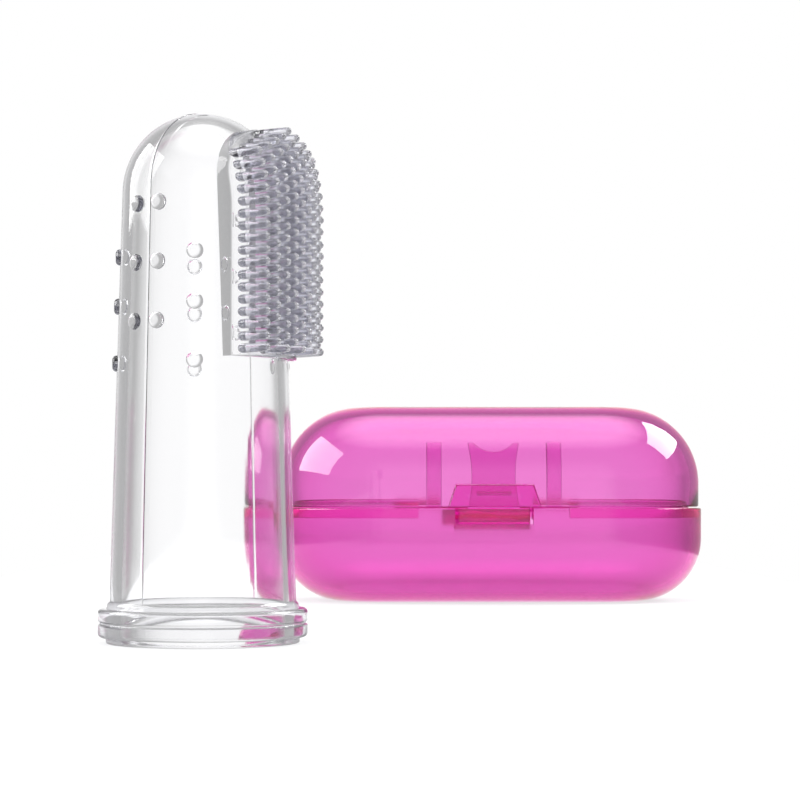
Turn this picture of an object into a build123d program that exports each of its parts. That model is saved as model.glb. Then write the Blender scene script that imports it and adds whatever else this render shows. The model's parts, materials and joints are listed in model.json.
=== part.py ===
from build123d import *
import math
import os

# Silicone finger toothbrush and the hinged case that it is stored in.
# Millimetres, +Z up. The origin is the centre of the brush's open lower end.
# The case stands on the same level, behind the brush and to its right.

# Finger sleeve
brush_height = 56.0
sleeve_foot_radius = 9.9
dome_radius = 8.5
sleeve_wall = 1.15

# Rolled rim round the open end
rim_height = 3.7
rim_width = 1.2
rim_edge_radius = 0.45
rim_groove_radius = 0.22
foot_step_height = 0.65
foot_step_width = 0.35

# Bristle pad, a raised arch that faces front right
pad_turn = 56.0
pad_bottom = 29.9
pad_half_width = 5.6
pad_shoulder_below_top = 7.9
pad_face_radius = 10.0
pad_bend_below_top = 11.0
pad_bend_radius = 18.6

# Bristles
column_count = 9
column_pitch = 1.1375
row_pitch = 1.254
first_row_above_pad_bottom = 0.75
bristle_edge_margin = 0.35
bristle_length = 3.5
bristle_root_radius = 0.5
bristle_tip_radius = 0.42
bristle_tip_rounding = 0.36
bristle_sink = 1.0

# Massage nubs: rows are measured down from the sleeve's top
nub_radius = 0.875
nub_height = 0.5
nub_edge_rounding = 0.4
nub_sink = 0.6
high_nub_rows = (10.2, 16.3, 22.4)
low_nub_rows = (15.3, 20.5, 26.5)
high_nub_turns = (83.0, 102.5)
low_nub_turns = (56.5, 135.5)

# Case shells
case_length = 64.0
case_width = 32.0
case_wall = 1.3
base_height = 14.0
base_corner_radius = 9.5
lid_height = 15.0
lid_corner_radius = 11.5
lid_setback = 0.4
seam_gap = 0.2
case_left_end = 2.6
case_front_edge = 88.0

# Locating lip inside the seam
lip_thickness = 0.8
lip_height = 1.2
lip_depth = 1.5
lip_gap = 0.25
lip_front_break = 22.0

# Hinge
knuckle_radius = 2.0
knuckle_length = 7.4
hinge_block_length = 14.0
knuckle_gap = 0.3
hinge_side_gap = 0.3
pin_radius = 0.9
pin_running_gap = 0.05
pin_end_cover = 0.8
hinge_web_drop = 1.5

# Latch
tongue_width = 10.4
tongue_depth = 2.2
slit_width = 0.5
root_gap = 0.15
tab_width = 7.6
tab_waist_cut = 0.6
tab_height = 9.4
tab_thickness = 1.2
tab_front_gap = 0.3
tab_lean = 2.5
tab_notch_depth = 1.3
tab_horn = 0.9
bead_radius = 0.35
bead_height = 2.2
bead_reach = 0.15
bead_length = 5.0

# Lid details
rib_spacing = 17.5
rib_width = 2.2
rib_depth = 1.0
rib_height = 9.2
bar_bottom_width = 13.5
bar_top_width = 11.3
bar_height = 3.3
bar_depth = 2.2
bar_slot_width = 8.0
bar_slot_height = 0.8
bar_slot_depth = 0.6
bar_slot_share = 0.45
bar_edge_rounding = 0.3

# Values that follow from the sizes above
dome_base = brush_height - dome_radius
rim_radius = sleeve_foot_radius + rim_width
pad_shoulder = brush_height - pad_shoulder_below_top
pad_bend_base = brush_height - pad_bend_below_top
arch_reach = pad_half_width - bristle_edge_margin
first_row = pad_bottom + first_row_above_pad_bottom

case_x = case_left_end + case_length / 2
case_y = case_front_edge + case_width / 2
seam = base_height
lid_floor = seam + seam_gap
lid_length = case_length - 2 * lid_setback
lid_width = case_width - 2 * lid_setback
base_front = case_y - case_width / 2
base_back = case_y + case_width / 2
lid_front = case_y - lid_width / 2
lid_back = case_y + lid_width / 2
pin_y = base_back + knuckle_radius + hinge_side_gap
hinge_half = hinge_block_length / 2 + knuckle_gap + knuckle_length


def turned_plane(turn):
    """Upright plane through the brush's axis, facing a turn away from the front."""
    angle = math.radians(turn)
    across = (math.cos(angle), math.sin(angle), 0)
    outward = (math.sin(angle), -math.cos(angle), 0)
    return Plane(origin=(0, 0, 0), x_dir=across, z_dir=outward)


def sleeve_radius(height):
    """Outer radius of the tapered sleeve at a height under the dome."""
    share = (height - rim_height) / (dome_base - rim_height)
    return sleeve_foot_radius + share * (dome_radius - sleeve_foot_radius)


def pad_face_distance(side, height):
    """Distance of the pad's face from the axis plane, at a place on the pad."""
    rise = max(0.0, height - pad_bend_base)
    radius = pad_face_radius - pad_bend_radius + math.sqrt(pad_bend_radius**2 - rise**2)
    return math.sqrt(radius**2 - side**2)


def revolved(outline):
    """Solid of revolution about Z from an outline drawn in the XZ plane."""
    with BuildPart() as body:
        with BuildSketch(Plane.XZ):
            with BuildLine():
                add(outline)
            make_face()
        revolve(axis=Axis.Z)
    return body.part


# The sleeve without its bore, which the pad and the nubs are fitted to
with BuildLine() as sleeve_outline:
    Polyline((0, 0), (sleeve_foot_radius, 0), (sleeve_foot_radius, rim_height))
    Line((sleeve_foot_radius, rim_height), (dome_radius, dome_base))
    CenterArc((0, dome_base), dome_radius, 0, 90)
    Line((0, brush_height), (0, 0))
sleeve_core = revolved(sleeve_outline.line)

# The pad's face as a solid of revolution, which the pad and the bristles are fitted to
bend_turn = math.degrees(math.asin(pad_bend_below_top / pad_bend_radius))
bend_end = pad_face_radius - pad_bend_radius * (1 - math.cos(math.radians(bend_turn)))
with BuildLine() as pad_outline:
    Polyline((0, brush_height), (0, pad_bottom), (pad_face_radius, pad_bottom))
    Line((pad_face_radius, pad_bottom), (pad_face_radius, pad_bend_base))
    CenterArc((pad_face_radius - pad_bend_radius, pad_bend_base), pad_bend_radius, 0, bend_turn)
    Line((bend_end, brush_height), (0, brush_height))
pad_core = revolved(pad_outline.line)


# --- Brush -------------------------------------------------------------------

with BuildPart() as finger_sleeve:
    add(sleeve_core)
    with BuildSketch(Plane.XZ):
        with BuildLine():
            Line((0, dome_base + dome_radius - sleeve_wall), (0, 0))
            Polyline((0, 0), (sleeve_foot_radius - sleeve_wall, 0), (dome_radius - sleeve_wall, dome_base))
            CenterArc((0, dome_base), dome_radius - sleeve_wall, 0, 90)
        make_face()
    revolve(axis=Axis.Z, mode=Mode.SUBTRACT)

with BuildPart() as base_rim:
    with BuildSketch(Plane.XZ) as rim_section:
        with BuildLine():
            Polyline(
                (sleeve_foot_radius, 0),
                (sleeve_foot_radius + foot_step_width, 0),
                (sleeve_foot_radius + foot_step_width, foot_step_height),
                (rim_radius, foot_step_height),
                (rim_radius, rim_height),
                (sleeve_foot_radius, rim_height),
                close=True,
            )
        make_face()
        fillet(rim_section.vertices().group_by(Axis.X)[-1], rim_edge_radius)
        with Locations((rim_radius, (foot_step_height + rim_height) / 2)):
            Circle(rim_groove_radius, mode=Mode.SUBTRACT)
    revolve(axis=Axis.Z)

pad_plane = turned_plane(pad_turn)
with BuildPart() as bristle_pad:
    with BuildSketch(pad_plane):
        with BuildLine():
            Line((-pad_half_width, pad_bottom), (pad_half_width, pad_bottom))
            Line((pad_half_width, pad_bottom), (pad_half_width, pad_shoulder))
            ThreePointArc(
                (pad_half_width, pad_shoulder),
                (0, pad_shoulder + pad_half_width),
                (-pad_half_width, pad_shoulder),
            )
            Line((-pad_half_width, pad_shoulder), (-pad_half_width, pad_bottom))
        make_face()
    extrude(amount=pad_face_radius + 1)
    add(pad_core, mode=Mode.INTERSECT)
    add(sleeve_core, mode=Mode.SUBTRACT)

brush_nodes = {"finger_sleeve": finger_sleeve, "base_rim": base_rim, "bristle_pad": bristle_pad}


def bristle_solid(side, height):
    """One tapered bristle with a rounded tip, rooted a little under the pad's face."""
    face = pad_face_distance(side, height)
    with BuildPart(pad_plane.offset(face - bristle_sink)) as bristle:
        with Locations((side, height)):
            Cone(
                bristle_root_radius,
                bristle_tip_radius,
                bristle_length + bristle_sink,
                align=(Align.CENTER, Align.CENTER, Align.MIN),
            )
        tip = bristle.edges().filter_by(GeomType.CIRCLE).sort_by(SortBy.RADIUS)[0]
        fillet(tip, bristle_tip_rounding)
    return bristle.part


for column in range(column_count):
    side = (column - (column_count - 1) / 2) * column_pitch
    start = first_row + (column % 2) * row_pitch / 2
    arch_top = pad_shoulder + math.sqrt(arch_reach**2 - side**2)
    row_count = int((arch_top - start) / row_pitch + 0.02) + 1
    bristles = [bristle_solid(side, start + row * row_pitch) for row in range(row_count)]
    with BuildPart() as bristle_column:
        add(bristles)
        add(pad_core, mode=Mode.SUBTRACT)
    brush_nodes[f"bristle_column_{column + 1}"] = bristle_column


def nub_solid(turn, height):
    """One low round nub that stands on the sleeve, rooted a little inside its wall."""
    surface = sleeve_radius(height)
    with BuildPart(turned_plane(pad_turn + turn).offset(surface - nub_sink)) as nub:
        with Locations((0, height)):
            Cylinder(nub_radius, nub_height + nub_sink, align=(Align.CENTER, Align.CENTER, Align.MIN))
        outer_edge = nub.edges().filter_by(GeomType.CIRCLE).sort_by(lambda edge: edge.center().length)[-1]
        fillet(outer_edge, nub_edge_rounding)
    return nub.part


nub_turns = [(turn, high_nub_rows) for turn in high_nub_turns]
nub_turns += [(turn, low_nub_rows) for turn in low_nub_turns]
nub_turns += [(-turn, rows) for turn, rows in nub_turns]
for number, (turn, rows) in enumerate(sorted(nub_turns), start=1):
    nubs = [nub_solid(turn, brush_height - drop) for drop in rows]
    with BuildPart() as nub_column:
        add(nubs)
        add(sleeve_core, mode=Mode.SUBTRACT)
    brush_nodes[f"nub_column_{number}"] = nub_column


# --- Case base ---------------------------------------------------------------

ground_plane = Plane(origin=(case_x, case_y, 0))
seam_plane = ground_plane.offset(seam)
lid_plane = ground_plane.offset(lid_floor)
side_plane = Plane(origin=(case_x, 0, seam), x_dir=(0, 1, 0), z_dir=(1, 0, 0))


def front_plane(depth, height):
    """Upright plane across the case's middle that faces the front."""
    return Plane(origin=(case_x, depth, height), x_dir=(1, 0, 0), z_dir=(0, -1, 0))


with BuildPart() as case_base:
    with BuildSketch(ground_plane):
        SlotOverall(case_length, case_width)
    extrude(amount=base_height)
    fillet(case_base.faces().sort_by(Axis.Z)[0].edges(), base_corner_radius)
    offset(amount=-case_wall, openings=case_base.faces().sort_by(Axis.Z)[-1])
    # Gap in the front wall that the sprung tongue stands in
    with BuildSketch(seam_plane):
        with Locations((0, base_front - case_y)):
            Rectangle(tongue_width + 2 * slit_width, 2 * (case_wall + lip_thickness))
    extrude(amount=-(tongue_depth + root_gap), mode=Mode.SUBTRACT)

with BuildPart() as locating_lip:
    with BuildSketch(seam_plane.offset(-lip_depth)):
        SlotOverall(case_length - 2 * case_wall, case_width - 2 * case_wall)
    extrude(amount=lip_depth)
    lip_setback = lid_setback + case_wall + lip_gap
    with BuildSketch(seam_plane):
        SlotOverall(case_length - 2 * lip_setback, case_width - 2 * lip_setback)
    extrude(amount=lip_height)
    lip_inside = lip_setback + lip_thickness
    with BuildSketch(seam_plane.offset(-lip_depth)):
        SlotOverall(case_length - 2 * lip_inside, case_width - 2 * lip_inside)
        with Locations((0, base_front - case_y)):
            Rectangle(lip_front_break, 4 * lip_inside)
    extrude(amount=lip_depth + lip_height, mode=Mode.SUBTRACT)

with BuildPart() as hinge_block:
    with BuildSketch(side_plane):
        with Locations((pin_y, 0)):
            Circle(knuckle_radius)
        with BuildLine():
            Polyline(
                (base_back, -seam_gap),
                (pin_y, -seam_gap),
                (pin_y, -knuckle_radius),
                (base_back, -knuckle_radius - hinge_web_drop),
                close=True,
            )
        make_face()
        with Locations((pin_y, 0)):
            Circle(pin_radius, mode=Mode.SUBTRACT)
    extrude(amount=hinge_block_length / 2, both=True)

with BuildPart() as hinge_pin:
    with BuildSketch(side_plane):
        with Locations((pin_y, 0)):
            Circle(pin_radius)
    extrude(amount=hinge_half - pin_end_cover, both=True)

# --- Latch -------------------------------------------------------------------

tab_front = lid_front + case_wall + tab_front_gap
tab_top_front = tab_front + tab_lean
with BuildPart() as latch_tongue:
    with BuildSketch(side_plane):
        with BuildLine():
            Polyline(
                (base_front, -tongue_depth),
                (tab_front + tab_thickness, -tongue_depth),
                (tab_front + tab_thickness, 0),
                (tab_top_front + tab_thickness, tab_height),
                (tab_top_front, tab_height),
                (tab_front, 0),
                (base_front, 0),
                close=True,
            )
        make_face()
    extrude(amount=tongue_width / 2, both=True)
    # The tab above the seam is narrower, waisted, and hollowed along its top edge
    with BuildSketch(front_plane(tab_front, seam)):
        for sign in (-1, 1):
            with BuildLine():
                Line((sign * tab_width / 2, tab_height + 1), (sign * tab_width / 2, tab_height))
                ThreePointArc(
                    (sign * tab_width / 2, tab_height),
                    (sign * (tab_width / 2 - tab_waist_cut), tab_height / 2),
                    (sign * tab_width / 2, 0),
                )
                Polyline(
                    (sign * tab_width / 2, 0),
                    (sign * tongue_width, 0),
                    (sign * tongue_width, tab_height + 1),
                    (sign * tab_width / 2, tab_height + 1),
                )
            make_face()
        with BuildLine():
            ThreePointArc(
                (-tab_width / 2 + tab_horn, tab_height),
                (0, tab_height - tab_notch_depth),
                (tab_width / 2 - tab_horn, tab_height),
            )
            Line((tab_width / 2 - tab_horn, tab_height), (-tab_width / 2 + tab_horn, tab_height))
        make_face()
    extrude(amount=tab_lean + tab_thickness + case_wall, both=True, mode=Mode.SUBTRACT)

bead_front = lid_front + case_wall + bead_reach
with BuildPart() as catch_bead:
    with BuildSketch(side_plane):
        with Locations((bead_front + bead_radius, bead_height)):
            Circle(bead_radius)
    extrude(amount=bead_length / 2, both=True)
    add(latch_tongue.part, mode=Mode.SUBTRACT)

# --- Case lid ----------------------------------------------------------------


def lid_form(inset):
    """Solid shape of the lid, shrunk by an inset everywhere but at its open floor."""
    with BuildPart() as form:
        with BuildSketch(lid_plane):
            SlotOverall(lid_length - 2 * inset, lid_width - 2 * inset)
        extrude(amount=lid_height - inset)
        fillet(form.faces().sort_by(Axis.Z)[-1].edges(), lid_corner_radius - inset)
    return form.part


lid_outside = lid_form(0)
lid_cavity = lid_form(case_wall)
rib_inside = lid_form(case_wall + rib_depth)

with BuildPart() as case_lid:
    add(lid_outside)
    add(lid_cavity, mode=Mode.SUBTRACT)

lid_nodes = {"case_lid": case_lid}
for name, sign in (("left", -1), ("right", 1)):
    knuckle_start = sign * (hinge_block_length / 2 + knuckle_gap)
    with BuildPart() as lid_knuckle:
        with BuildSketch(side_plane.offset(knuckle_start)):
            with Locations((pin_y, 0)):
                Circle(knuckle_radius)
            with BuildLine():
                Polyline(
                    (lid_back, seam_gap),
                    (pin_y, seam_gap),
                    (pin_y, knuckle_radius),
                    (lid_back, knuckle_radius + hinge_web_drop),
                    close=True,
                )
            make_face()
            with Locations((pin_y, 0)):
                Circle(pin_radius + pin_running_gap, mode=Mode.SUBTRACT)
        extrude(amount=sign * knuckle_length)
    lid_nodes[f"lid_knuckle_{name}"] = lid_knuckle

    with BuildPart() as lid_rib:
        with BuildSketch(lid_plane):
            with Locations((sign * rib_spacing / 2, lid_front + lid_width / 4 - case_y)):
                Rectangle(rib_width, lid_width / 2)
        extrude(amount=rib_height)
        add(lid_cavity, mode=Mode.INTERSECT)
        add(rib_inside, mode=Mode.SUBTRACT)
    lid_nodes[f"lid_rib_{name}"] = lid_rib

with BuildPart() as thumb_bar:
    with BuildSketch(front_plane(lid_front, lid_floor)):
        with BuildLine():
            Polyline(
                (-bar_bottom_width / 2, 0),
                (bar_bottom_width / 2, 0),
                (bar_top_width / 2, bar_height),
                (-bar_top_width / 2, bar_height),
                close=True,
            )
        make_face()
    extrude(amount=bar_depth)
    fillet(thumb_bar.faces().sort_by(Axis.Y)[0].edges(), bar_edge_rounding)
    with BuildSketch(front_plane(lid_front - bar_depth, lid_floor)):
        with Locations((0, bar_height * bar_slot_share)):
            SlotOverall(bar_slot_width, bar_slot_height)
    extrude(amount=-bar_slot_depth, mode=Mode.SUBTRACT)
lid_nodes["thumb_bar"] = thumb_bar

base_nodes = {
    "case_base": case_base,
    "locating_lip": locating_lip,
    "hinge_block": hinge_block,
    "hinge_pin": hinge_pin,
    "latch_tongue": latch_tongue,
    "catch_bead": catch_bead,
}

os.makedirs("parts", exist_ok=True)
for name, node in (brush_nodes | base_nodes | lid_nodes).items():
    node.part.label = name
    export_step(node.part, f"parts/{name}.step")
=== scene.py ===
import json
import math
import random

import bmesh
import bpy
from mathutils import Matrix, Vector


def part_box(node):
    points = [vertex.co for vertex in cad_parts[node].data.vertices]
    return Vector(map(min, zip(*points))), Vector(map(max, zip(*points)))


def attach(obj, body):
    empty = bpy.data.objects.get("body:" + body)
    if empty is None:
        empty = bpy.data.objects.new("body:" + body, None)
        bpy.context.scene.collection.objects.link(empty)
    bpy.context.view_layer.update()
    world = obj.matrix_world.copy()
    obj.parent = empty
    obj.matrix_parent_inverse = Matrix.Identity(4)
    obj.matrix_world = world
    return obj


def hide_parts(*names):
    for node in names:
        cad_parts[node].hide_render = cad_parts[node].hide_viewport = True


bl_info = {
    "name": "Finger toothbrush and case",
    "version": (1, 0, 0),
    "blender": (4, 5, 0),
    "location": "View3D > Sidebar > Finger Brush",
    "description": "Clear silicone finger toothbrush with its hinged pink case",
    "category": "Object",
}

MM = 0.001

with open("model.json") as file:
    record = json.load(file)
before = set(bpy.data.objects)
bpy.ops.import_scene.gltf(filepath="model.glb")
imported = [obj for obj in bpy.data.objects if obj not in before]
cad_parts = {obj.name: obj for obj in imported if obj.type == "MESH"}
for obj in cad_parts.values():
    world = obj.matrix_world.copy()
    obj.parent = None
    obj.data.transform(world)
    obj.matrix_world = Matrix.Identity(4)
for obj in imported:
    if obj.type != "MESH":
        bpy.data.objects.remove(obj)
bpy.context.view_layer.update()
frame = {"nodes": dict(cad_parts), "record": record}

# Places and sizes that the frame gives
SLEEVE_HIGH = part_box("finger_sleeve")[1]
RIM_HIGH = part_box("base_rim")[1]
BASE_LOW, BASE_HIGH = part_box("case_base")
LID_LOW, LID_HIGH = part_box("case_lid")
TONGUE_LOW, TONGUE_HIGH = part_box("latch_tongue")
CASE_CENTRE = (BASE_LOW + BASE_HIGH) / 2
SEAM = BASE_HIGH.z

WHITE = (1.0, 1.0, 1.0, 1.0)
CLOUD_SIZE = 2.5 * MM  # patches of handling marks in the gloss

# The bristle field, which the silicone's material finds by place to make it hazier and to tint it grey as
# painted shade: how far it stands out from the axis, from clear to full, and the part of its face that
# bends back near the top
FIELD_REACH = (8.8 * MM, 9.4 * MM)
FIELD_BEND_BASE, FIELD_BEND_TOP, FIELD_BEND_DEPTH = 45 * MM, 55 * MM, 2.7 * MM
FIELD_SOFT_EDGE = 0.2 * MM
FIELD_HAZE = 0.18

# Massage nubs: heights in a column, and each column's angle from the pad in degrees, on both sides
HIGH_ROWS, LOW_ROWS = (45.8, 39.7, 33.6), (40.7, 35.5, 29.5)
NUB_COLUMNS = ((83.0, HIGH_ROWS), (102.5, HIGH_ROWS), (56.5, LOW_ROWS), (135.5, LOW_ROWS))
BRISTLE_COLUMNS = 9
BRISTLE_LEAN = 0.008  # radians, one standard deviation

# Softboxes: name, place, size in metres and power in watts
SOFTBOXES = (
    ("key_softbox", (-0.50, 0.08, 0.30), (0.55, 0.36), 4.4),
    ("fill_softbox", (0.46, 0.26, 0.38), (0.42, 0.26), 4.0),
)
FLOOR_HALF_SIZE = (0.075, 0.40, 1.0)


# --- Settings ----------------------------------------------------------------


def length(name, text, default_mm):
    """A size in metres, given in millimetres."""
    return bpy.props.FloatProperty(
        name=name, description=text, default=default_mm * MM, min=0.0, precision=5, unit="LENGTH"
    )


def colour(name, text, code):
    """A colour given as an sRGB hex value and held as linear light."""
    return bpy.props.FloatVectorProperty(
        name=name, description=text, default=linear(code), size=4, min=0.0, max=1.0, subtype="COLOR"
    )


def linear(code):
    """Linear colour with alpha 1 from an sRGB hex value such as 'E0409A'."""
    parts = [int(code[i : i + 2], 16) / 255 for i in (0, 2, 4)]
    return (*[p / 12.92 if p <= 0.04045 else ((p + 0.055) / 1.055) ** 2.4 for p in parts], 1.0)


class BrushSizes(bpy.types.PropertyGroup):
    """Sizes of the silicone brush that its outer box doesn't give."""

    wall: length("Wall", "Thickness of the silicone wall", 1.15)
    dome_radius: length("Dome radius", "Outer radius of the domed tip", 8.5)
    step_height: length("Foot height", "Height of the narrow foot under the rim", 0.65)
    step_width: length("Foot width", "How far the foot stands out from the sleeve", 0.35)
    rim_rounding: length("Rim rounding", "Radius on the rim's edges", 0.45)
    groove: length("Rim groove", "Radius of the groove round the rim", 0.22)
    parting_width: length("Parting line width", "Half the width of the mould's parting line", 0.14)
    parting_height: length("Parting line height", "How far the parting line stands up", 0.07)
    pad_turn: bpy.props.FloatProperty(
        name="Pad turn",
        description="Turn of the bristle pad from the front, to the right",
        default=math.radians(56.0),
        subtype="ANGLE",
    )
    pad_half_width: length("Pad half width", "Half the width of the bristle pad", 5.6)
    pad_bottom: length("Pad bottom", "Height of the pad's flat lower edge", 29.9)
    pad_shoulder: length("Pad shoulder", "Height where the pad's arch begins", 48.1)
    pad_face_radius: length("Pad face radius", "Radius of the pad's curved face", 10.0)
    pad_bend_base: length("Pad bend base", "Height where the face starts to bend in", 45.0)
    pad_bend_radius: length("Pad bend radius", "Radius of the bend near the top of the pad", 18.6)
    pad_rounding: length("Pad rounding", "Radius on the pad's outer edge", 0.3)
    column_pitch: length("Bristle column pitch", "Distance between bristle columns", 1.1375)
    row_pitch: length("Bristle row pitch", "Distance between bristles in a column", 1.254)
    first_row: length("First bristle row", "Height of the lowest bristles", 30.65)
    edge_margin: length("Bristle margin", "Least distance from a bristle's centre to the pad's edge", 0.35)
    bristle_length: length("Bristle length", "Length of a bristle from the pad's face", 3.5)
    bristle_radius: length("Bristle radius", "Radius of a bristle at its root", 0.5)
    nub_radius: length("Nub radius", "Radius of a massage nub", 0.875)
    nub_height: length("Nub height", "Height of a massage nub", 0.5)


class CaseSizes(bpy.types.PropertyGroup):
    """Sizes of the case that its outer boxes don't give."""

    wall: length("Wall", "Thickness of both shells", 1.3)
    base_corner: length("Base corner", "Radius round the base's lower edge", 9.5)
    lid_corner: length("Lid corner", "Radius round the lid's top edge", 11.5)
    edge_rounding: length("Edge rounding", "Radius on the rims of both shells", 0.22)
    skin: length("Skin", "How far the shells stay inside the frame's, clear of what stands on them", 0.02)
    lip_gap: length("Lip gap", "Gap between the locating lip and the lid", 0.25)
    lip_wall: length("Lip thickness", "Thickness of the locating lip", 0.8)
    lip_height: length("Lip height", "Height of the lip above the seam", 1.2)
    lip_depth: length("Lip depth", "Depth of the lip below the seam", 1.5)
    lip_break: length("Lip break", "Width of the gap in the lip at the latch", 22.0)
    slit: length("Slit", "Width of the slits beside the tongue", 0.5)
    root_gap: length("Root gap", "Gap under the tongue's root", 0.15)


class Finishes(bpy.types.PropertyGroup):
    """Colours of the mouldings and of the floor."""

    silicone: colour("Silicone", "What the silicone lets through as it gets thick", "CCCCD3")
    # Bristles: painted shade, a grey tint that stands in for the darkening by internal reflection among the
    # bristles
    bristles: colour("Bristles", "Tint of the hazy silicone in the bristle field", "E8E8EE")
    lid: colour("Lid", "What the lid's plastic lets through as it gets thick", "FE47E8")
    base: colour("Base", "What the base's plastic lets through as it gets thick", "FE50E8")
    latch: colour("Latch", "What the latch's plastic lets through as it gets thick", "FE46EE")
    floor: colour("Floor", "Colour of the light table where it is not lit", "7C7C7E")


class StageSettings(bpy.types.PropertyGroup):
    """Where the camera stands and how it looks."""

    distance: length("Distance", "Camera's distance in front of the brush", 240.0)
    height: length("Height", "Camera's height above the floor", 15.0)
    frame_width: length("Frame width", "Width of the picture at the brush's axis", 84.9)
    centre_x: length("Centre X", "Place at the middle of the picture, across", 20.9)
    centre_z: length("Centre Z", "Place at the middle of the picture, up", 25.75)


# --- Material helpers --------------------------------------------------------


def add_node(tree, kind, settings=None, links=None, **values):
    """Adds a node. settings are its attributes, values its sockets' numbers, links its inputs' sources."""
    node = tree.nodes.new(kind)
    for key, value in (settings or {}).items():
        setattr(node, key, value)
    for key, value in values.items():
        node.inputs[key.replace("_", " ")].default_value = value
    for key, source in (links or {}).items():
        tree.links.new(source, node.inputs[key])
    return node


def clear_moulding(name, through, density, ior, polish, haze, wave_mm, wave_height_mm, surface=1.0):
    """Clear moulded plastic or rubber, tinted in its depth.

    Thin walls stay pale, and edges seen along the wall are deep, because the light is absorbed on its
    way through. The mould's polish gives a smooth gloss with slow, faint waves in the surface, and
    handling leaves a fine cloudiness, so the roughness varies between polish and haze. density is the
    absorption per metre, and surface is what one crossing of the surface lets through.
    """
    material = bpy.data.materials.new(name)
    material.use_nodes = True
    tree = material.node_tree
    tree.nodes.clear()
    place = {"Vector": add_node(tree, "ShaderNodeTexCoord").outputs["Object"]}
    cloud = add_node(
        tree, "ShaderNodeTexNoise", links=place, Scale=1 / CLOUD_SIZE, Detail=4.0, Roughness=0.6
    )
    gloss = add_node(
        tree, "ShaderNodeMapRange", links={"Value": cloud.outputs["Fac"]}, To_Min=polish, To_Max=haze
    )
    waves = add_node(tree, "ShaderNodeTexNoise", links=place, Scale=1 / (wave_mm * MM), Detail=1.0)
    bump = add_node(
        tree,
        "ShaderNodeBump",
        links={"Height": waves.outputs["Fac"]},
        Strength=1.0,
        Distance=wave_height_mm * MM,
    )
    shader = add_node(
        tree,
        "ShaderNodeBsdfPrincipled",
        links={"Roughness": gloss.outputs["Result"], "Normal": bump.outputs["Normal"]},
        Base_Color=(surface, surface, surface, 1.0),
        IOR=ior,
        Transmission_Weight=1.0,
    )
    depth = add_node(tree, "ShaderNodeVolumeAbsorption", Color=through, Density=density)
    add_node(
        tree,
        "ShaderNodeOutputMaterial",
        links={"Surface": shader.outputs["BSDF"], "Volume": depth.outputs["Volume"]},
    )
    return material


def clear_silicone():
    """Liquid silicone rubber, injection moulded: soft gloss and faint waves.

    The bristle field is finely textured in the mould, so it is hazier than the rest. Its grey tint is
    painted shade, for the darkening by internal reflection among the bristles. It is all that stands
    further out than the pad's face, above the pad's lower edge.
    """
    finishes = bpy.context.scene.brush_finishes
    sizes = bpy.context.scene.brush_sizes
    material = clear_moulding(
        "clear_silicone_moulded",
        finishes.silicone,
        density=80.0,
        ior=1.41,
        polish=0.015,
        haze=0.07,
        wave_mm=6.0,
        wave_height_mm=0.02,
    )
    tree = material.node_tree
    shader = tree.nodes["Principled BSDF"]
    place = add_node(tree, "ShaderNodeTexCoord")
    outwards = add_node(
        tree, "ShaderNodeVectorMath", {"operation": "DOT_PRODUCT"}, {0: place.outputs["Object"]}
    )
    outwards.inputs[1].default_value = pad_axes(sizes.pad_turn)[2]
    split = add_node(tree, "ShaderNodeSeparateXYZ", links={"Vector": place.outputs["Object"]})
    above_bend = add_node(
        tree,
        "ShaderNodeMapRange",
        links={"Value": split.outputs["Z"]},
        From_Min=FIELD_BEND_BASE,
        From_Max=FIELD_BEND_TOP,
        To_Max=math.sqrt(FIELD_BEND_DEPTH),
    )
    # The square of the height above the bend is what the face leans back by
    leaning_back = add_node(
        tree,
        "ShaderNodeMath",
        {"operation": "MULTIPLY_ADD"},
        {0: above_bend.outputs["Result"], 1: above_bend.outputs["Result"], 2: outwards.outputs["Value"]},
    )
    reach = add_node(
        tree,
        "ShaderNodeMapRange",
        links={"Value": leaning_back.outputs[0]},
        From_Min=FIELD_REACH[0],
        From_Max=FIELD_REACH[1],
    )
    rise = add_node(
        tree,
        "ShaderNodeMapRange",
        links={"Value": split.outputs["Z"]},
        From_Min=sizes.pad_bottom - FIELD_SOFT_EDGE,
        From_Max=sizes.pad_bottom,
    )
    field = add_node(
        tree,
        "ShaderNodeMath",
        {"operation": "MULTIPLY"},
        {0: reach.outputs["Result"], 1: rise.outputs["Result"]},
    )
    # Painted shade: the field's surface is tinted grey for the darkening by internal reflection among the
    # bristles
    tint = add_node(tree, "ShaderNodeMix", {"data_type": "RGBA"}, {"Factor": field.outputs[0]})
    tint.inputs[6].default_value = WHITE
    tint.inputs[7].default_value = finishes.bristles
    tree.links.new(tint.outputs[2], shader.inputs["Base Color"])
    bristle_haze = add_node(tree, "ShaderNodeMath", {"operation": "MULTIPLY"}, {0: field.outputs[0]})
    bristle_haze.inputs[1].default_value = FIELD_HAZE
    haze = add_node(
        tree,
        "ShaderNodeMath",
        {"operation": "MAXIMUM"},
        {0: shader.inputs["Roughness"].links[0].from_socket, 1: bristle_haze.outputs[0]},
    )
    tree.links.new(haze.outputs[0], shader.inputs["Roughness"])
    return material


def lid_polystyrene():
    """Clear pink polystyrene from a polished mould: hard, bright gloss."""
    return clear_moulding(
        "pink_polystyrene_lid",
        bpy.context.scene.brush_finishes.lid,
        density=640.0,
        ior=1.5,
        polish=0.03,
        haze=0.08,
        wave_mm=9.0,
        wave_height_mm=0.02,
        surface=0.88,
    )


def base_polystyrene():
    """The base's plastic: the same, with a duller polish that blurs what is behind it."""
    return clear_moulding(
        "pink_polystyrene_base",
        bpy.context.scene.brush_finishes.base,
        density=850.0,
        ior=1.5,
        polish=0.05,
        haze=0.16,
        wave_mm=9.0,
        wave_height_mm=0.03,
        surface=0.81,
    )


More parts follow.
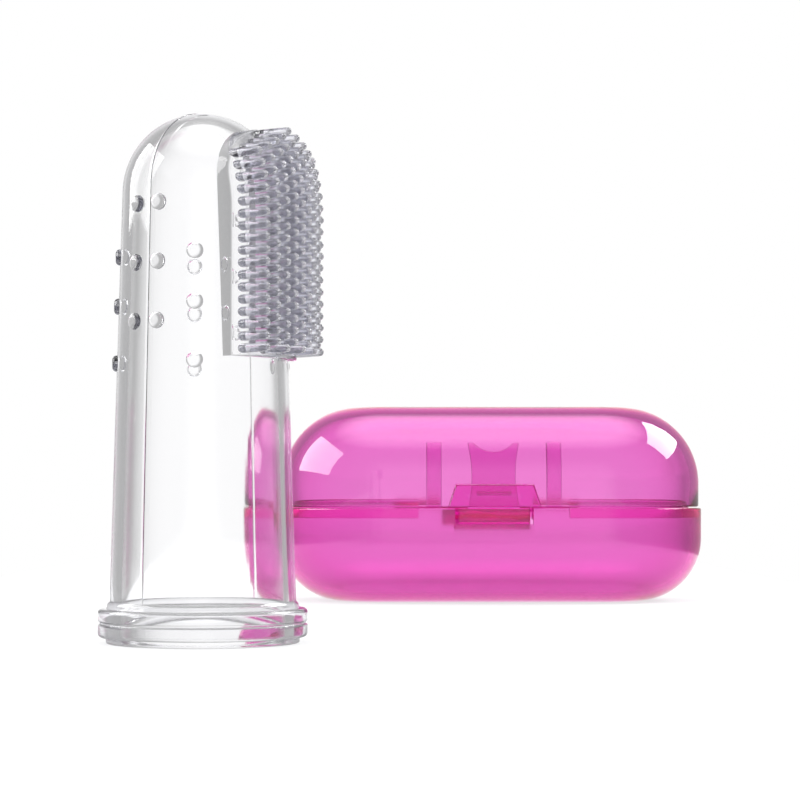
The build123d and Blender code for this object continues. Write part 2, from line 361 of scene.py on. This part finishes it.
def small_part_polystyrene():
    """The same plastic in the small parts at the latch and the hinge."""
    return clear_moulding(
        "pink_polystyrene_small_parts",
        bpy.context.scene.brush_finishes.latch,
        density=760.0,
        ior=1.5,
        polish=0.04,
        haze=0.12,
        wave_mm=4.0,
        wave_height_mm=0.01,
        surface=0.9,
    )


def studio_floor():
    """Opal acrylic sheet lit from below, with soft contact shadows.

    The light that it sends into the object is dimmed near the brush, which shades the rim. The camera
    sees the sheet evenly lit.
    """
    tint = bpy.context.scene.brush_finishes.floor
    material = bpy.data.materials.new("opal_acrylic_light_table")
    material.use_nodes = True
    tree = material.node_tree
    tree.nodes.clear()
    place = add_node(tree, "ShaderNodeTexCoord")
    far = add_node(tree, "ShaderNodeVectorMath", {"operation": "LENGTH"}, {0: place.outputs["Object"]})
    lamp = add_node(
        tree,
        "ShaderNodeMapRange",
        links={"Value": far.outputs["Value"]},
        From_Min=15 * MM,
        From_Max=60 * MM,
        To_Min=0.35,
        To_Max=0.78,
    )
    dimmed = add_node(
        tree,
        "ShaderNodeBsdfPrincipled",
        links={"Emission Strength": lamp.outputs["Result"]},
        Base_Color=tint,
        Roughness=0.8,
        IOR=1.4,
        Emission_Color=WHITE,
    )
    even = add_node(
        tree,
        "ShaderNodeBsdfPrincipled",
        Base_Color=tint,
        Roughness=0.9,
        IOR=1.0,
        Emission_Color=WHITE,
        Emission_Strength=0.72,
    )
    ray = add_node(tree, "ShaderNodeLightPath")
    pick = add_node(tree, "ShaderNodeMixShader", links={"Fac": ray.outputs["Is Camera Ray"]})
    tree.links.new(dimmed.outputs["BSDF"], pick.inputs[1])
    tree.links.new(even.outputs["BSDF"], pick.inputs[2])
    add_node(tree, "ShaderNodeOutputMaterial", links={"Surface": pick.outputs[0]})
    return material


# --- Shape helpers -----------------------------------------------------------


def arc(centre, radius, start, end, steps):
    """Points on an arc in a profile, from one angle to another in degrees."""
    angles = [math.radians(start + (end - start) * i / steps) for i in range(steps + 1)]
    return [(centre[0] + radius * math.cos(a), centre[1] + radius * math.sin(a)) for a in angles]


def chain(bm, points):
    """Vertices and the edges that join them in a row."""
    verts = [bm.verts.new(p) for p in points]
    return verts + [bm.edges.new(pair) for pair in zip(verts, verts[1:])]


def extruded(bm, edges):
    """Extrudes edges in place, and gives the new vertices and the new edges between them."""
    run = bmesh.ops.extrude_edge_only(bm, edges=edges)["geom"]
    verts = [v for v in run if isinstance(v, bmesh.types.BMVert)]
    fresh = set(verts)
    return verts, [e for e in run if isinstance(e, bmesh.types.BMEdge) and fresh.issuperset(e.verts)]


def cleaned(bm, distance=0.0005 * MM):
    """Merges doubles, drops what they leave and turns the faces outwards."""
    bmesh.ops.remove_doubles(bm, verts=bm.verts, dist=distance)
    bmesh.ops.dissolve_degenerate(bm, edges=bm.edges, dist=distance)
    bmesh.ops.recalc_face_normals(bm, faces=bm.faces)
    return bm


def turned(profile, steps):
    """A solid turned about Z from a profile of radius and height that starts and ends on the axis."""
    bm = bmesh.new()
    geom = chain(bm, [(r, 0.0, z) for r, z in profile])
    bmesh.ops.spin(
        bm, geom=geom, cent=(0, 0, 0), axis=(0, 0, 1), angle=math.tau, steps=steps, use_merge=True
    )
    return cleaned(bm)


def stadium(profile, straight, centre, turn_steps=48, straight_steps=16):
    """A closed shell whose profile runs round a stadium: half a turn, a straight, and the same again."""
    bm = bmesh.new()
    half = straight / 2
    last = chain(bm, [(half, -r, z) for r, z in profile])
    for side in (1, -1):
        spun = bmesh.ops.spin(
            bm, geom=last, cent=(side * half, 0, 0), axis=(0, 0, 1), angle=math.pi, steps=turn_steps
        )
        last = spun["geom_last"]
        for _ in range(straight_steps):
            verts, edges = extruded(bm, [e for e in last if isinstance(e, bmesh.types.BMEdge)])
            bmesh.ops.translate(bm, verts=verts, vec=(-side * straight / straight_steps, 0, 0))
            last = verts + edges
    bmesh.ops.translate(bm, verts=bm.verts, vec=(centre.x, centre.y, 0))
    return cleaned(bm)


def add_piece(name, bm, material, smooth=35.0):
    """A mesh object from a bmesh, smooth except at sharp edges."""
    mesh = bpy.data.meshes.new(name)
    bm.to_mesh(mesh)
    bm.free()
    mesh.materials.append(material)
    mesh.shade_smooth()
    mesh.set_sharp_from_angle(angle=math.radians(smooth))
    piece = bpy.data.objects.new(name, mesh)
    bpy.context.scene.collection.objects.link(piece)
    return piece


def combined(piece, tools, operation, smooth=35.0):
    """Joins other pieces into one, or cuts them out of it, and removes them."""
    group = bpy.data.collections.new("tools_" + piece.name)
    for tool in tools:
        group.objects.link(tool)
    change = piece.modifiers.new("combine", "BOOLEAN")
    change.operation = operation
    change.operand_type = "COLLECTION"
    change.collection = group
    change.solver = "EXACT"
    bpy.context.scene.collection.children.link(group)
    bpy.context.view_layer.update()
    result = bpy.data.meshes.new_from_object(piece.evaluated_get(bpy.context.evaluated_depsgraph_get()))
    piece.modifiers.clear()
    piece.data = result
    result.name = piece.name
    result.shade_smooth()
    result.set_sharp_from_angle(angle=math.radians(smooth))
    for tool in tools:
        bpy.data.objects.remove(tool)
    bpy.data.collections.remove(group)
    return piece


def finished(nodes, material, radius_mm):
    """Gives CAD nodes a material, and softens their edges as a mould does."""
    for name in nodes:
        node = frame["nodes"][name]
        node.data.materials.clear()
        node.data.materials.append(material)
        weld = node.modifiers.new("weld", "WELD")
        weld.merge_threshold = 0.001 * MM
        soft = node.modifiers.new("mould_radius", "BEVEL")
        soft.width = radius_mm * MM
        soft.segments = 3
        soft.limit_method = "ANGLE"
        soft.angle_limit = math.radians(35)


# --- The silicone brush ------------------------------------------------------


def pad_axes(turn):
    """Directions across the pad, up, and outwards from it."""
    return (
        Vector((math.cos(turn), math.sin(turn), 0)),
        Vector((0, 0, 1)),
        Vector((math.sin(turn), -math.cos(turn), 0)),
    )


def standing_place(turn, across, height, out):
    """Matrix that lays a shape turned about Z on the pad or the sleeve, pointing outwards."""
    side, up, outward = pad_axes(turn)
    spot = side * across + up * height + outward * out
    return Matrix.Translation(spot) @ Matrix((side, up, outward)).transposed().to_4x4()


def sleeve_radius(height):
    """Outer radius of the sleeve at a height, taper and dome."""
    sizes = bpy.context.scene.brush_sizes
    foot = SLEEVE_HIGH.x
    dome_base = SLEEVE_HIGH.z - sizes.dome_radius
    if height > dome_base:
        return math.sqrt(max(0.0, sizes.dome_radius**2 - (height - dome_base) ** 2))
    share = max(0.0, (height - RIM_HIGH.z) / (dome_base - RIM_HIGH.z))
    return foot + share * (sizes.dome_radius - foot)


def face_distance(across, height):
    """Distance of the pad's face from the plane through the axis."""
    sizes = bpy.context.scene.brush_sizes
    rise = max(0.0, height - sizes.pad_bend_base)
    radius = sizes.pad_face_radius - sizes.pad_bend_radius + math.sqrt(sizes.pad_bend_radius**2 - rise**2)
    return math.sqrt(radius**2 - across**2)


def sleeve_profile():
    """Section of the sleeve and its rim, from the inner top round the mouth to the outer top."""
    sizes = bpy.context.scene.brush_sizes
    foot, top, rim, rim_top = SLEEVE_HIGH.x, SLEEVE_HIGH.z, RIM_HIGH.x, RIM_HIGH.z
    dome_base = top - sizes.dome_radius
    inner_foot = foot - sizes.wall
    step = foot + sizes.step_width
    edge, soft = sizes.rim_rounding, 0.2 * MM
    groove_height = (sizes.step_height + rim_top) / 2
    points = arc((0, dome_base), sizes.dome_radius - sizes.wall, 90, 0, 20)
    taper, steps = sizes.dome_radius - foot, 12
    points += [(inner_foot + taper * i / steps, dome_base * i / steps) for i in range(steps - 1, 0, -1)]
    points += arc((inner_foot + soft, soft), soft, 180, 270, 4)
    points += arc((step - soft, soft), soft, -90, 0, 4)
    points += [(step, sizes.step_height)]
    points += arc((rim - edge, sizes.step_height + edge), edge, -90, 0, 6)
    points += arc((rim + sizes.groove * 0.2, groove_height), sizes.groove, 260, 100, 6)
    points += arc((rim - edge, rim_top - edge), edge, 0, 90, 6)
    # A low bead where the sleeve leaves the rim: how far each point stands out from the foot, and up
    for out, up in ((0.32, 0.0), (0.24, 0.3), (0.2, 0.5), (-0.02, 0.72)):
        points.append((foot + out * MM, rim_top + up * MM))
    bead_top, steps = points[-1][1], 24
    for i in range(1, steps):
        height = bead_top + (dome_base - bead_top) * i / steps
        points.append((sleeve_radius(height), height))
    points += arc((0, dome_base), sizes.dome_radius, 0, 90, 24)
    # Both ends stand on the axis itself, so that the turned shell closes
    points[0], points[-1] = (0.0, points[0][1]), (0.0, points[-1][1])
    return points


def sleeve_shape():
    """The hollow sleeve with its rim and the mould's parting line standing up along both sides."""
    sizes = bpy.context.scene.brush_sizes
    bm = turned(sleeve_profile(), 128)
    outward = pad_axes(sizes.pad_turn)[2]
    dome_centre = Vector((0, 0, SLEEVE_HIGH.z - sizes.dome_radius))
    for shift in (-sizes.parting_width, 0.0, sizes.parting_width):
        geom = bm.verts[:] + bm.edges[:] + bm.faces[:]
        bmesh.ops.bisect_plane(bm, geom=geom, plane_co=outward * shift, plane_no=outward, dist=0.00001 * MM)
    for vert in bm.verts:
        if abs(vert.co.dot(outward)) > 0.0001 * MM or vert.co.z < RIM_HIGH.z + 0.8 * MM:
            continue
        spine = Vector((0, 0, min(vert.co.z, dome_centre.z)))
        away = vert.co - spine
        if away.length > sleeve_radius(min(vert.co.z, dome_centre.z)) - sizes.wall / 2:
            vert.co += away.normalized() * sizes.parting_height
    return bm


def arch_point(share, inset):
    """A point on the pad's outline, shrunk by an inset: across, height. share runs 0 to 1 round it."""
    sizes = bpy.context.scene.brush_sizes
    half = sizes.pad_half_width - inset
    bottom = sizes.pad_bottom + inset
    shoulder = sizes.pad_shoulder
    legs = (0.15, 0.45, 0.70, 1.0)
    if share < legs[0]:
        return half * (2 * share / legs[0] - 1), bottom
    if share < legs[1]:
        return half, bottom + (shoulder - bottom) * (share - legs[0]) / (legs[1] - legs[0])
    if share < legs[2]:
        angle = math.pi * (share - legs[1]) / (legs[2] - legs[1])
        return half * math.cos(angle), shoulder + half * math.sin(angle)
    return -half, shoulder + (bottom - shoulder) * (share - legs[2]) / (legs[3] - legs[2])


def pad_shape():
    """The raised pad: its outline is carried outwards from inside the wall, rounded, and closed."""
    sizes = bpy.context.scene.brush_sizes
    side, up, outward = pad_axes(sizes.pad_turn)
    count = 120
    sink, edge, half = 0.5 * MM, sizes.pad_rounding, sizes.pad_half_width

    def back(across, height):
        return math.sqrt(max(0.0, (sleeve_radius(height) - sink) ** 2 - across**2))

    levels = [(half * i / 6, 0.0, back) for i in range(6, 0, -1)] + [(0.0, 0.0, back)]
    levels.append((0.0, -edge, face_distance))
    for angle in (22.5, 45, 67.5, 90):
        a = math.radians(angle)
        levels.append((edge * (1 - math.cos(a)), -edge * (1 - math.sin(a)), face_distance))
    levels += [(edge + (half - edge) * i / 6, 0.0, face_distance) for i in range(1, 7)]

    def spots(level):
        inset, drop, surface = level
        for i in range(count):
            across, height = arch_point(i / count, inset)
            yield side * across + up * height + outward * (surface(across, height) + drop)

    bm = bmesh.new()
    ring = [bm.verts.new(p) for p in spots(levels[0])]
    edges = [bm.edges.new((a, b)) for a, b in zip(ring, ring[1:] + ring[:1])]
    for level in levels[1:]:
        fresh, edges = extruded(bm, edges)
        partner = {e.other_vert(v): v for v in fresh for e in v.link_edges}
        ring = [partner[v] for v in ring]
        for vert, spot in zip(ring, spots(level)):
            vert.co = spot
    return cleaned(bm, 0.002 * MM)


def repeated(template, places):
    """Copies of one small shape, each put in its place."""
    mesh = bpy.data.meshes.new("template")
    template.to_mesh(mesh)
    template.free()
    bm = bmesh.new()
    for place in places:
        start = len(bm.verts)
        bm.from_mesh(mesh)
        bm.verts.ensure_lookup_table()
        bmesh.ops.transform(bm, matrix=place, verts=bm.verts[start:])
    bpy.data.meshes.remove(mesh)
    return bm


def bristle_places():
    """Matrices for all bristles: staggered columns inside the arch, each a touch off straight."""
    sizes = bpy.context.scene.brush_sizes
    draw = random.Random(11)
    reach = sizes.pad_half_width - sizes.edge_margin
    places = []
    for column in range(BRISTLE_COLUMNS):
        across = (column - BRISTLE_COLUMNS // 2) * sizes.column_pitch
        start = sizes.first_row + (column % 2) * sizes.row_pitch / 2
        top = sizes.pad_shoulder + math.sqrt(reach**2 - across**2)
        for row in range(int((top - start) / sizes.row_pitch + 0.02) + 1):
            height = start + row * sizes.row_pitch
            lean = Matrix.Rotation(draw.gauss(0, BRISTLE_LEAN), 4, "X")
            lean = lean @ Matrix.Rotation(draw.gauss(0, BRISTLE_LEAN), 4, "Y")
            face = face_distance(across, height)
            places.append(standing_place(sizes.pad_turn, across, height, face) @ lean)
    return places


def bristle_shape():
    """One bristle: a slim pin with a round tip, rooted below the pad's face."""
    sizes = bpy.context.scene.brush_sizes
    long, root = sizes.bristle_length, sizes.bristle_radius
    tip = 0.84 * root
    profile = [(0, -0.4 * MM), (root, -0.4 * MM), (root, 0), (0.93 * root, 0.5 * long), (tip, long - tip)]
    profile += arc((0, long - tip), tip, 0, 90, 4)[1:-1] + [(0, long)]
    return turned(profile, 12)


def nub_places():
    """Matrices for the nubs: two high columns between two low ones on each side of the pad."""
    sizes = bpy.context.scene.brush_sizes
    places = []
    for turn, rows in NUB_COLUMNS:
        for side in (-1, 1):
            angle = sizes.pad_turn + side * math.radians(turn)
            for row in rows:
                places.append(standing_place(angle, 0, row * MM, sleeve_radius(row * MM)))
    return places


def nub_shape():
    """One massage nub: a low button with a rounded edge."""
    sizes = bpy.context.scene.brush_sizes
    wide, tall = sizes.nub_radius, sizes.nub_height
    edge = 0.95 * tall
    profile = [(0, -0.5 * MM), (wide, -0.5 * MM), (wide, tall - edge)]
    profile += arc((wide - edge, tall - edge), edge, 0, 90, 5)[1:]
    return turned(profile + [(0, tall)], 28)


class FINGERBRUSH_OT_silicone_brush(bpy.types.Operator):
    """Mould the sleeve, rim, pad, bristles and nubs as one clear silicone piece"""

    bl_idname = "finger_brush.silicone_brush"
    bl_label = "Silicone brush"

    def execute(self, context):
        silicone = clear_silicone()
        brush = add_piece("silicone_brush", sleeve_shape(), silicone)
        pad = add_piece("pad_tool", pad_shape(), silicone)
        pins = add_piece("bristle_tool", repeated(bristle_shape(), bristle_places()), silicone)
        nubs = add_piece("nub_tool", repeated(nub_shape(), nub_places()), silicone)
        combined(brush, [pad, nubs, pins], "UNION", 40)
        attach(brush, "brush")
        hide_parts(*frame["record"]["behaviour"]["bodies"]["brush"])
        return {"FINISHED"}


# --- The case ----------------------------------------------------------------


def base_profile():
    """Section of the base from its outer middle to its inner middle, with the rim and the lip."""
    sizes = bpy.context.scene.case_sizes
    half = (BASE_HIGH.y - BASE_LOW.y) / 2 - sizes.skin
    corner, wall, soft = sizes.base_corner, sizes.wall - 2 * sizes.skin, sizes.edge_rounding
    lip_out = (LID_HIGH.y - LID_LOW.y) / 2 - wall - sizes.lip_gap
    lip_in = lip_out - sizes.lip_wall
    points = [(0, 0), ((half - corner) / 2, 0)]
    points += arc((half - corner, corner), corner, -90, 0, 24)
    points += arc((half - soft, SEAM - soft), soft, 0, 90, 4)
    points += [(lip_out, SEAM), (lip_out, SEAM + sizes.lip_height - soft)]
    points += arc(((lip_out + lip_in) / 2, SEAM + sizes.lip_height - soft), sizes.lip_wall / 2, 20, 160, 4)
    points += [(lip_in, SEAM + sizes.lip_height - soft), (lip_in, SEAM - sizes.lip_depth)]
    points += [(half - wall, SEAM - sizes.lip_depth)]
    points += arc((half - corner, corner), corner - wall, 0, -90, 24)
    return points + [((half - corner) / 2, wall), (0, wall)]


def lid_profile():
    """Section of the lid from its outer middle down to its rim and back up inside."""
    sizes = bpy.context.scene.case_sizes
    half = (LID_HIGH.y - LID_LOW.y) / 2 - sizes.skin
    corner, wall, soft = sizes.lid_corner, sizes.wall - 2 * sizes.skin, sizes.edge_rounding
    top, foot = LID_HIGH.z, LID_LOW.z
    points = [(0, top), ((half - corner) / 2, top)]
    points += arc((half - corner, top - corner), corner, 90, 0, 28)
    points += arc((half - soft, foot + soft), soft, 0, -90, 4)
    points += arc((half - wall + soft, foot + soft), soft, 270, 180, 4)
    points += arc((half - corner, top - corner), corner - wall, 0, 90, 28)
    return points + [((half - corner) / 2, top - wall), (0, top - wall)]


def block(low, high):
    """A plain box between two corners, used to cut with."""
    bm = bmesh.new()
    middle, size = (low + high) / 2, high - low
    bmesh.ops.create_cube(bm, size=1.0, matrix=Matrix.Translation(middle) @ Matrix.Diagonal((*size, 1.0)))
    return bm


class FINGERBRUSH_OT_case_base(bpy.types.Operator):
    """Mould the case's base with its lip, and cut the gap that the latch tongue stands in"""

    bl_idname = "finger_brush.case_base"
    bl_label = "Case base"

    def execute(self, context):
        sizes = context.scene.case_sizes
        width = BASE_HIGH.y - BASE_LOW.y
        straight = BASE_HIGH.x - BASE_LOW.x - width
        plastic = base_polystyrene()
        base = add_piece("case_base_shell", stadium(base_profile(), straight, CASE_CENTRE), plastic)
        gap = (TONGUE_HIGH.x - TONGUE_LOW.x) / 2 + sizes.slit
        # The cuts run past the lip and past the seam, so that they leave no skin
        reach = LID_LOW.y + sizes.wall + sizes.lip_gap + sizes.lip_wall + 1.5 * MM
        below, above = SEAM - 3 * MM, SEAM + 3 * MM
        wall_gap = block(
            Vector((CASE_CENTRE.x - gap, BASE_LOW.y - MM, TONGUE_LOW.z - sizes.root_gap)),
            Vector((CASE_CENTRE.x + gap, reach, above)),
        )
        lip_gap = block(
            Vector((CASE_CENTRE.x - sizes.lip_break / 2, BASE_LOW.y + sizes.wall, below)),
            Vector((CASE_CENTRE.x + sizes.lip_break / 2, reach, above)),
        )
        tools = [add_piece("wall_cut", wall_gap, plastic), add_piece("lip_cut", lip_gap, plastic)]
        combined(base, tools, "DIFFERENCE")
        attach(base, "case_base")
        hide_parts("case_base", "locating_lip")
        return {"FINISHED"}


class FINGERBRUSH_OT_case_lid(bpy.types.Operator):
    """Mould the case's lid, its two inner ribs and the thumb bar"""

    bl_idname = "finger_brush.case_lid"
    bl_label = "Case lid"

    def execute(self, context):
        width = LID_HIGH.y - LID_LOW.y
        straight = LID_HIGH.x - LID_LOW.x - width
        lid = add_piece("case_lid_shell", stadium(lid_profile(), straight, CASE_CENTRE), lid_polystyrene())
        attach(lid, "case_lid")
        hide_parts("case_lid")
        finished(("lid_rib_left", "lid_rib_right", "thumb_bar"), small_part_polystyrene(), 0.15)
        return {"FINISHED"}


class FINGERBRUSH_OT_latch(bpy.types.Operator):
    """Finish the sprung latch tongue and its catch bead"""

    bl_idname = "finger_brush.latch"
    bl_label = "Latch"

    def execute(self, context):
        finished(("latch_tongue", "catch_bead"), small_part_polystyrene(), 0.12)
        return {"FINISHED"}


class FINGERBRUSH_OT_hinge(bpy.types.Operator):
    """Finish the hinge block, its pin and the lid's knuckles"""

    bl_idname = "finger_brush.hinge"
    bl_label = "Hinge"

    def execute(self, context):
        knuckles = ("hinge_block", "hinge_pin", "lid_knuckle_left", "lid_knuckle_right")
        finished(knuckles, small_part_polystyrene(), 0.15)
        return {"FINISHED"}


# --- The stage ---------------------------------------------------------------


def studio_world():
    """A white room, which lights the object from a bright wall, grey surroundings and a bright ceiling.

    The camera sees the room as plain white. The grey that the object sees draws the edges of clear parts.
    """
    world = bpy.data.worlds.new("studio")
    bpy.context.scene.world = world
    world.use_nodes = True
    tree = world.node_tree
    tree.nodes.clear()
    place = add_node(tree, "ShaderNodeTexCoord")
    split = add_node(tree, "ShaderNodeSeparateXYZ", links={"Vector": place.outputs["Generated"]})
    # Directions near the Y axis see the bright wall, which is taller than it is wide
    squeeze = add_node(
        tree, "ShaderNodeVectorMath", {"operation": "MULTIPLY"}, {0: place.outputs["Generated"]}
    )
    squeeze.inputs[1].default_value = (1.0, 0.0, 0.6)
    off_axis = add_node(
        tree, "ShaderNodeVectorMath", {"operation": "LENGTH"}, {0: squeeze.outputs["Vector"]}
    )
    wall = add_node(
        tree,
        "ShaderNodeMapRange",
        {"interpolation_type": "SMOOTHSTEP"},
        {"Value": off_axis.outputs["Value"]},
        From_Min=0.14,
        From_Max=0.40,
        To_Min=1.12,
        To_Max=0.50,
    )
    ceiling = add_node(
        tree,
        "ShaderNodeMapRange",
        links={"Value": split.outputs["Z"]},
        From_Min=0.78,
        From_Max=0.95,
        To_Max=2.7,
    )
    light = add_node(
        tree,
        "ShaderNodeMath",
        {"operation": "ADD"},
        {0: wall.outputs["Result"], 1: ceiling.outputs["Result"]},
    )
    room = add_node(tree, "ShaderNodeBackground", links={"Strength": light.outputs[0]}, Color=WHITE)
    white = add_node(tree, "ShaderNodeBackground", Color=WHITE, Strength=1.0)
    ray = add_node(tree, "ShaderNodeLightPath")
    pick = add_node(tree, "ShaderNodeMixShader", links={"Fac": ray.outputs["Is Camera Ray"]})
    tree.links.new(room.outputs[0], pick.inputs[1])
    tree.links.new(white.outputs[0], pick.inputs[2])
    add_node(tree, "ShaderNodeOutputWorld", links={"Surface": pick.outputs[0]})


def softbox(name, spot, target, size, watts):
    """A large soft light that faces a point. Clear parts reflect it, but it isn't seen through them."""
    light = bpy.data.lights.new(name, "AREA")
    light.shape = "RECTANGLE"
    light.size, light.size_y = size
    light.energy = watts
    lamp = bpy.data.objects.new(name, light)
    lamp.location = spot
    lamp.rotation_euler = (Vector(target) - Vector(spot)).to_track_quat("-Z", "Y").to_euler()
    lamp.visible_transmission = False
    bpy.context.scene.collection.objects.link(lamp)


class FINGERBRUSH_OT_stage(bpy.types.Operator):
    """Set the floor, the soft lights and the camera"""

    bl_idname = "finger_brush.stage"
    bl_label = "Stage"

    def execute(self, context):
        scene = context.scene
        settings = scene.brush_stage
        bm = bmesh.new()
        bmesh.ops.create_grid(bm, x_segments=1, y_segments=1, size=1.0)
        bmesh.ops.scale(bm, vec=FLOOR_HALF_SIZE, verts=bm.verts)
        bmesh.ops.translate(bm, vec=(CASE_CENTRE.x / 2, CASE_CENTRE.y, 0.0), verts=bm.verts)
        floor = add_piece("floor", bm, studio_floor())
        studio_world()
        middle = (CASE_CENTRE.x / 2, CASE_CENTRE.y / 2, 0.02)
        for name, spot, size, watts in SOFTBOXES:
            softbox(name, spot, middle, size, watts)

        camera = bpy.data.cameras.new("camera")
        camera.lens = camera.sensor_width * settings.distance / settings.frame_width
        camera.clip_start, camera.clip_end = 0.01, 20.0
        eye = bpy.data.objects.new("camera", camera)
        eye.location = (settings.centre_x, -settings.distance, settings.height)
        eye.rotation_euler = (math.radians(90), 0, 0)
        camera.shift_y = (settings.centre_z - settings.height) / settings.frame_width
        scene.collection.objects.link(eye)
        scene.camera = eye

        scene.view_settings.view_transform = "Standard"
        # Light crosses many clear walls, and runs along inside them as reflections
        scene.cycles.max_bounces = 24
        scene.cycles.transmission_bounces = 24
        scene.cycles.glossy_bounces = 24
        return {"FINISHED"}


# --- Panel and start ---------------------------------------------------------


class FINGERBRUSH_PT_panel(bpy.types.Panel):
    """Sizes, finishes and makers of the finger toothbrush"""

    bl_idname = "FINGERBRUSH_PT_panel"
    bl_label = "Finger toothbrush"
    bl_space_type = "VIEW_3D"
    bl_region_type = "UI"
    bl_category = "Finger Brush"

    def draw(self, context):
        layout = self.layout
        for operator in OPERATORS:
            layout.operator(operator.bl_idname)
        for title, group in SETTINGS.items():
            box = layout.box()
            box.label(text=group.__doc__)
            for key in group.__annotations__:
                box.prop(getattr(context.scene, title), key)


SETTINGS = {
    "brush_sizes": BrushSizes,
    "case_sizes": CaseSizes,
    "brush_finishes": Finishes,
    "brush_stage": StageSettings,
}
OPERATORS = (
    FINGERBRUSH_OT_silicone_brush,
    FINGERBRUSH_OT_case_base,
    FINGERBRUSH_OT_case_lid,
    FINGERBRUSH_OT_latch,
    FINGERBRUSH_OT_hinge,
    FINGERBRUSH_OT_stage,
)


def register():
    for group in SETTINGS.values():
        bpy.utils.register_class(group)
    for title, group in SETTINGS.items():
        setattr(bpy.types.Scene, title, bpy.props.PointerProperty(type=group))
    for operator in OPERATORS:
        bpy.utils.register_class(operator)
    bpy.utils.register_class(FINGERBRUSH_PT_panel)


def unregister():
    bpy.utils.unregister_class(FINGERBRUSH_PT_panel)
    for operator in reversed(OPERATORS):
        bpy.utils.unregister_class(operator)
    for title, group in SETTINGS.items():
        delattr(bpy.types.Scene, title)
        bpy.utils.unregister_class(group)


def main():
    """Registers the add-on and makes every piece in order."""
    register()
    for operator in OPERATORS:
        family, name = operator.bl_idname.split(".")
        getattr(getattr(bpy.ops, family), name)()


if __name__ == "__main__":
    main()
